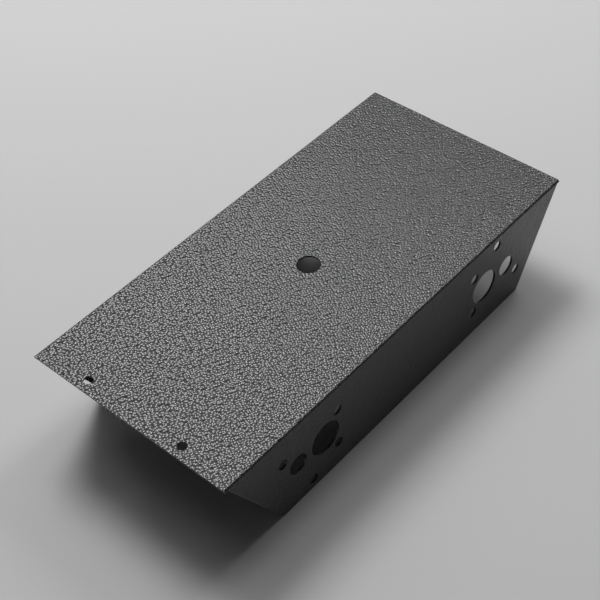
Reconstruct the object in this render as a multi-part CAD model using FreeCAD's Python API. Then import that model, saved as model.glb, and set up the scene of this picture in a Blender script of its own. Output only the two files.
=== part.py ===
import FreeCAD, Part
import math
import os

# Open chassis pan, folded from one punched steel sheet: a flat web on top and a flange folded
# down along each long edge. It is open underneath and at both ends.
#
# Millimetres. X runs along the length, Y across it and Z up. The origin is at the middle of the
# footprint, so the flanges' lower edges stand on z = 0. The web's two end holes are towards -X.

# Sheet
sheet_thickness = 0.8
inside_bend_radius = 0.2

# Pan, over the outside of the sheet
pan_length = 185.0
pan_width = 90.0
pan_height = 40.0
flange_end_inset = 24.0      # each flange is this much shorter at the bottom, at each end
flange_end_angle = 30.0      # the slant of its ends, from upright

# Holes in the web
cable_hole_diameter = 9.0
cable_hole_x = -0.8
end_hole_diameter = 3.6
end_hole_spacing = 44.0
end_hole_margin = 4.5        # from the web's end to the holes' centres

# Motor holes in the flanges, at mid height, the same at each end. One pattern takes a small
# flat gear motor: a hole for its shaft, and a pair of screws further in. The other takes a round
# gear motor: a hole for its bearing boss, and screws on a circle round the gearbox's middle.
screw_hole_diameter = 4.2
shaft_hole_diameter = 8.4
shaft_hole_margin = 33.0     # from the web's end to the shaft hole's centre
screw_pair_setback = 20.5    # from the shaft hole in to the screw pair
screw_pair_spacing = 17.5
boss_hole_diameter = 14.0
boss_hole_setback = 14.0     # from the shaft hole in to the boss hole
gearbox_offset = 7.0         # from the boss hole out to the middle of the round gearbox
face_screw_circle = 31.0
face_screw_angles = (90.0, -26.0)

outside_bend_radius = inside_bend_radius + sheet_thickness
clear = 1.0                  # how far a cutting tool runs past what it cuts


def channel():
    """The folded sheet at full length, before its ends and holes are cut."""
    outer = bent_outline(pan_width / 2, pan_height, outside_bend_radius)
    inner = bent_outline(pan_width / 2 - sheet_thickness, pan_height - sheet_thickness, inside_bend_radius)
    right_foot = Part.LineSegment(outer[-1].EndPoint, inner[-1].EndPoint)
    left_foot = Part.LineSegment(inner[0].StartPoint, outer[0].StartPoint)
    loop = outer + [right_foot] + inner[::-1] + [left_foot]
    section = Part.Face(Part.Wire([curve.toShape() for curve in loop]))
    return section.extrude(FreeCAD.Vector(pan_length, 0, 0))


def bent_outline(half_width, top, radius):
    """One skin of the U section at the -X end: up a flange, across the web and down again."""
    def point(y, z):
        return FreeCAD.Vector(-pan_length / 2, y, z)

    half_way = radius * (1 - math.sqrt(0.5))
    left = Part.Arc(point(-half_width, top - radius), point(half_way - half_width, top - half_way),
                    point(radius - half_width, top))
    right = Part.Arc(point(half_width - radius, top), point(half_width - half_way, top - half_way),
                     point(half_width, top - radius))
    return [Part.LineSegment(point(-half_width, 0), left.StartPoint), left,
            Part.LineSegment(left.EndPoint, right.StartPoint), right,
            Part.LineSegment(right.EndPoint, point(half_width, 0))]


def flange_end_tool(end):
    """The wedge that slants both flanges at one end, from just under the web to the bottom."""
    slant_top = pan_height - sheet_thickness - inside_bend_radius / 4
    slope = math.tan(math.radians(flange_end_angle))
    open_side = -slope * pan_height - clear

    def point(inset, z):
        return FreeCAD.Vector(end * (pan_length / 2 - inset), -pan_width / 2 - clear, z)

    corners = [point(flange_end_inset - slope * slant_top, slant_top),
               point(flange_end_inset + slope * clear, -clear),
               point(open_side, -clear), point(open_side, slant_top)]
    wedge = Part.Face(Part.makePolygon(corners + corners[:1]))
    return wedge.extrude(FreeCAD.Vector(0, pan_width + 2 * clear, 0))


def web_hole(diameter, x, y):
    """A punch down through the web."""
    start = FreeCAD.Vector(x, y, pan_height - sheet_thickness - clear)
    return Part.makeCylinder(diameter / 2, sheet_thickness + 2 * clear, start, FreeCAD.Vector(0, 0, 1))


def flange_hole(diameter, x, z):
    """A punch across the pan, through both flanges in line."""
    start = FreeCAD.Vector(x, -pan_width / 2 - clear, z)
    return Part.makeCylinder(diameter / 2, pan_width + 2 * clear, start, FreeCAD.Vector(0, 1, 0))


def web_tools():
    """The cable hole at the middle and the two holes at the -X end."""
    end_hole_x = end_hole_margin - pan_length / 2
    tools = [web_hole(cable_hole_diameter, cable_hole_x, 0)]
    for side in (-1, 1):
        tools.append(web_hole(end_hole_diameter, end_hole_x, side * end_hole_spacing / 2))
    return tools


def motor_tools(end):
    """The motor holes at one end; the two ends' patterns are half a turn apart."""
    def hole(diameter, out, up):
        x = pan_length / 2 - shaft_hole_margin + out
        return flange_hole(diameter, end * x, pan_height / 2 + end * up)

    tools = [hole(shaft_hole_diameter, 0, 0), hole(boss_hole_diameter, -boss_hole_setback, 0)]
    for side in (-1, 1):
        tools.append(hole(screw_hole_diameter, -screw_pair_setback, side * screw_pair_spacing / 2))
    for angle in face_screw_angles:
        reach = face_screw_circle / 2
        out = gearbox_offset - boss_hole_setback + reach * math.cos(math.radians(angle))
        tools.append(hole(screw_hole_diameter, out, reach * math.sin(math.radians(angle))))
    return tools


def chassis():
    """The finished sheet."""
    ends = [flange_end_tool(-1), flange_end_tool(1)]
    return channel().cut(ends + web_tools() + motor_tools(-1) + motor_tools(1)).Solids[0]


os.makedirs("parts", exist_ok=True)
chassis().exportStep("parts/chassis.step")
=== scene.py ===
import bpy
import math
from mathutils import Matrix, Vector


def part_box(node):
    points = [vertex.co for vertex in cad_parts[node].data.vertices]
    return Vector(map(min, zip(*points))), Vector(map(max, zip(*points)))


# A folded sheet metal chassis pan in black pebbled powder coat, on a pale studio floor.
# Metres, in the frame of the CAD model: X along the pan, Z up, the floor at z = 0.

MM = 0.001
SHEET_THICKNESS = 0.8 * MM         # as in the CAD model

# Camera: where its axis meets the web's top face, and how it looks at that point
AIM_X, AIM_Y = -16.1 * MM, -9.2 * MM
HEADING = math.radians(46.01)      # from +Y towards +X
ELEVATION = math.radians(46.08)
ROLL = math.radians(-4.05)
DISTANCE = 457.9 * MM
SENSOR_MM = 36.0
LENS_MM = 78.44
NEAR_CLIP = 10 * MM

# Powder coat
PEBBLE_PITCH = 0.95 * MM
PEBBLE_EVENNESS = 0.25             # 0 scatters the pebbles at random, 1 sets them on a grid
PEBBLE_TURN = math.radians(25)     # of the pebbles' grid from the pan's own edges
PEBBLE_DROP = 0.23 * MM            # how far a pebble's dome would fall in one pitch
WAVES_PER_PITCH = 0.34             # slow waves under the pebbles
WAVE_HEIGHT = 0.36                 # as a share of a pebble's drop
GRAINS_PER_PITCH = 2.5             # fine grain on the pebbles
GRAIN_HEIGHT = 0.09                # as a share of a pebble's drop
ROUGHNESS_LOW, ROUGHNESS_HIGH = 0.17, 0.23
# Painted shade: the coat's colour darkens from each pebble's top to the valleys round it, where
# shade falls
COAT_VALLEY_SHADE_COLOUR = (0.022, 0.022, 0.023)
COAT_PEBBLE_TOP_COLOUR = (0.036, 0.036, 0.037)
MIX_A, MIX_B, MIX_RESULT = 6, 7, 2   # the colour sockets of a Mix node

# Cut edges, as the coat rounds them
WELD_DISTANCE = 0.001 * MM
FLAT_ANGLE = math.radians(0.5)     # facets nearer than this to one plane become one face
EDGE_RADIUS = 0.22 * MM
EDGE_ANGLE = math.radians(25)      # edges that turn by less, as along a hole's wall, stay

# Studio
FLOOR_COLOUR = (0.6, 0.6, 0.6, 1.0)
FLOOR_ROUGHNESS = 0.9
FLOOR_REACH = 6.0                  # from the origin to each side of the floor
WORLD_COLOUR = (0.9, 0.9, 0.9, 1.0)
WORLD_STRENGTH = 0.05


def new_material(name):
    """A node material with that name, and its Principled shader."""
    material = bpy.data.materials.new(name)
    material.use_nodes = True
    return material, material.node_tree.nodes["Principled BSDF"]


def add_node(tree, kind, **settings):
    """A node of that kind, with those settings."""
    node = tree.nodes.new(kind)
    for name, value in settings.items():
        setattr(node, name, value)
    return node


def sheet_place(tree, bend_height):
    """The place on the sheet as it was before folding, so pebbles run on round the bends.

    What lies below bend_height is on a flange, and counts as that much further out along Y."""
    link = tree.links.new
    place = add_node(tree, "ShaderNodeTexCoord")
    parts = add_node(tree, "ShaderNodeSeparateXYZ")
    link(place.outputs["Object"], parts.inputs[0])
    below = add_node(tree, "ShaderNodeMath", operation="SUBTRACT")
    below.inputs[0].default_value = bend_height
    link(parts.outputs["Z"], below.inputs[1])
    down = add_node(tree, "ShaderNodeMath", operation="MAXIMUM")
    down.inputs[1].default_value = 0.0
    link(below.outputs[0], down.inputs[0])
    side = add_node(tree, "ShaderNodeMath", operation="SIGN")
    link(parts.outputs["Y"], side.inputs[0])
    across = add_node(tree, "ShaderNodeMath", operation="MULTIPLY_ADD")
    link(side.outputs[0], across.inputs[0])
    link(down.outputs[0], across.inputs[1])
    link(parts.outputs["Y"], across.inputs[2])
    flat = add_node(tree, "ShaderNodeCombineXYZ")
    link(parts.outputs["X"], flat.inputs["X"])
    link(across.outputs[0], flat.inputs["Y"])
    turned = add_node(tree, "ShaderNodeVectorRotate", rotation_type="Z_AXIS")
    turned.inputs["Angle"].default_value = PEBBLE_TURN
    link(flat.outputs[0], turned.inputs["Vector"])
    return turned.outputs[0]


def flat_noise(tree, place, scale, detail):
    """Soft noise over the unfolded sheet, from 0 to 1."""
    noise = add_node(tree, "ShaderNodeTexNoise", noise_dimensions="2D")
    noise.inputs["Scale"].default_value = scale
    noise.inputs["Detail"].default_value = detail
    tree.links.new(place, noise.inputs["Vector"])
    return noise.outputs["Fac"]


def coat_height(tree, from_middle, waves, grain):
    """The coat's height, in drops: round domes on slow waves, with fine grain over them."""
    link = tree.links.new
    fall = add_node(tree, "ShaderNodeMath", operation="POWER")
    fall.inputs[1].default_value = 2.0
    link(from_middle, fall.inputs[0])
    waved = add_node(tree, "ShaderNodeMath", operation="MULTIPLY_ADD")
    waved.inputs[1].default_value = WAVE_HEIGHT
    link(waves, waved.inputs[0])
    grained = add_node(tree, "ShaderNodeMath", operation="MULTIPLY_ADD")
    grained.inputs[1].default_value = GRAIN_HEIGHT
    link(grain, grained.inputs[0])
    link(waved.outputs[0], grained.inputs[2])
    height = add_node(tree, "ShaderNodeMath", operation="SUBTRACT")
    link(grained.outputs[0], height.inputs[0])
    link(fall.outputs[0], height.inputs[1])
    return height.outputs[0]


def coat_material(bend_height):
    """Black powder coat: small separate pebbles, each a low dome, with finer grain on them, and
    painted shade that darkens the valleys between them.
    """
    material, shader = new_material("hammer_coat")
    tree = material.node_tree
    link = tree.links.new
    place = sheet_place(tree, bend_height)
    pebbles = add_node(tree, "ShaderNodeTexVoronoi", voronoi_dimensions="2D", feature="F1")
    pebbles.inputs["Scale"].default_value = 1.0 / PEBBLE_PITCH
    pebbles.inputs["Randomness"].default_value = 1.0 - PEBBLE_EVENNESS
    link(place, pebbles.inputs["Vector"])
    from_middle = pebbles.outputs["Distance"]
    waves = flat_noise(tree, place, scale=WAVES_PER_PITCH / PEBBLE_PITCH, detail=0.0)
    grain = flat_noise(tree, place, scale=GRAINS_PER_PITCH / PEBBLE_PITCH, detail=1.0)

    bump = add_node(tree, "ShaderNodeBump")
    bump.inputs["Distance"].default_value = PEBBLE_DROP
    link(coat_height(tree, from_middle, waves, grain), bump.inputs["Height"])
    link(bump.outputs["Normal"], shader.inputs["Normal"])

    # Painted shade: the colour runs from lighter pebble tops to darker valleys, by the distance
    # from each pebble's middle
    valley_shade = add_node(tree, "ShaderNodeMix", data_type="RGBA")
    valley_shade.inputs[MIX_A].default_value = (*COAT_PEBBLE_TOP_COLOUR, 1.0)
    valley_shade.inputs[MIX_B].default_value = (*COAT_VALLEY_SHADE_COLOUR, 1.0)
    link(from_middle, valley_shade.inputs["Factor"])
    link(valley_shade.outputs[MIX_RESULT], shader.inputs["Base Color"])
    gloss = add_node(tree, "ShaderNodeMapRange")
    gloss.inputs["To Min"].default_value = ROUGHNESS_LOW
    gloss.inputs["To Max"].default_value = ROUGHNESS_HIGH
    link(grain, gloss.inputs["Value"])
    link(gloss.outputs[0], shader.inputs["Roughness"])
    return material


def round_edges(node):
    """The coat rounds every cut edge. The node's own mesh stays as it is."""
    weld = node.modifiers.new("weld", "WELD")
    weld.merge_threshold = WELD_DISTANCE
    flat = node.modifiers.new("flat", "DECIMATE")
    flat.decimate_type = "DISSOLVE"
    flat.angle_limit = FLAT_ANGLE
    edge = node.modifiers.new("edge", "BEVEL")
    edge.width = EDGE_RADIUS
    edge.segments = 2
    edge.limit_method = "ANGLE"
    edge.angle_limit = EDGE_ANGLE
    node.modifiers.new("normals", "WEIGHTED_NORMAL")


def studio_floor():
    """A plain pale floor, far larger than the view."""
    mesh = bpy.data.meshes.new("floor")
    corners = [(-FLOOR_REACH, -FLOOR_REACH, 0), (FLOOR_REACH, -FLOOR_REACH, 0),
               (FLOOR_REACH, FLOOR_REACH, 0), (-FLOOR_REACH, FLOOR_REACH, 0)]
    mesh.from_pydata(corners, [], [(0, 1, 2, 3)])
    floor = bpy.data.objects.new("floor", mesh)
    bpy.context.scene.collection.objects.link(floor)
    material, shader = new_material("floor")
    shader.inputs["Base Color"].default_value = FLOOR_COLOUR
    shader.inputs["Roughness"].default_value = FLOOR_ROUGHNESS
    mesh.materials.append(material)


def soft_box(name, direction, distance, width, height, watts):
    """A soft light in that direction from the origin, facing it."""
    light = bpy.data.lights.new(name, "AREA")
    light.shape = "RECTANGLE"
    light.size = width
    light.size_y = height
    light.energy = watts
    lamp = bpy.data.objects.new(name, light)
    bpy.context.scene.collection.objects.link(lamp)
    outward = Vector(direction).normalized()
    lamp.location = outward * distance
    lamp.rotation_euler = outward.to_track_quat("Z", "Y").to_euler()


def studio_lights():
    """A dim room, a broad soft box and a smaller one behind the pan, and one over its +X end."""
    world = bpy.data.worlds.new("studio")
    world.use_nodes = True
    background = world.node_tree.nodes["Background"]
    background.inputs["Color"].default_value = WORLD_COLOUR
    background.inputs["Strength"].default_value = WORLD_STRENGTH
    bpy.context.scene.world = world
    soft_box("fill", (0.4, 0.55, 1.0), distance=1.25, width=1.55, height=1.55, watts=7.0)
    soft_box("key", (0.3, 0.6, 1.0), distance=1.2, width=0.42, height=0.42, watts=7.5)
    soft_box("side", (1.0, 0.0, 1.0), distance=1.2, width=0.3, height=0.3, watts=2.6)


def photo_camera(top):
    """The camera, from the point that its axis meets on the web's top face."""
    towards = Vector((math.sin(HEADING) * math.cos(ELEVATION),
                      math.cos(HEADING) * math.cos(ELEVATION),
                      -math.sin(ELEVATION)))
    right = towards.cross(Vector((0, 0, 1))).normalized()
    up = right.cross(towards)
    turn = Matrix.Rotation(-ROLL, 3, towards)
    axes = Matrix((turn @ right, turn @ up, -towards)).transposed()
    data = bpy.data.cameras.new("camera")
    data.sensor_width = SENSOR_MM
    data.lens = LENS_MM
    data.clip_start = NEAR_CLIP
    camera = bpy.data.objects.new("camera", data)
    bpy.context.scene.collection.objects.link(camera)
    place = Vector((AIM_X, AIM_Y, top)) - DISTANCE * towards
    camera.matrix_world = Matrix.Translation(place) @ axes.to_4x4()
    bpy.context.scene.camera = camera


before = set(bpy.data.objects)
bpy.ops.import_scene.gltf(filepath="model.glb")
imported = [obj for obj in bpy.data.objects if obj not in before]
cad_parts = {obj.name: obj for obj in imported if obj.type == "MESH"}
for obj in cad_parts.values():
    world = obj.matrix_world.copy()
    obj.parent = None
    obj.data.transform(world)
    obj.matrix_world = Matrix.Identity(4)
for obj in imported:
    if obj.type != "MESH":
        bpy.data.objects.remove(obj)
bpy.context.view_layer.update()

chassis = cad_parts["chassis"]
web_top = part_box("chassis")[1].z
chassis.data.materials[0] = coat_material(web_top - SHEET_THICKNESS)
round_edges(chassis)
photo_camera(web_top)
studio_floor()
studio_lights()
bpy.context.scene.view_settings.view_transform = "Standard"
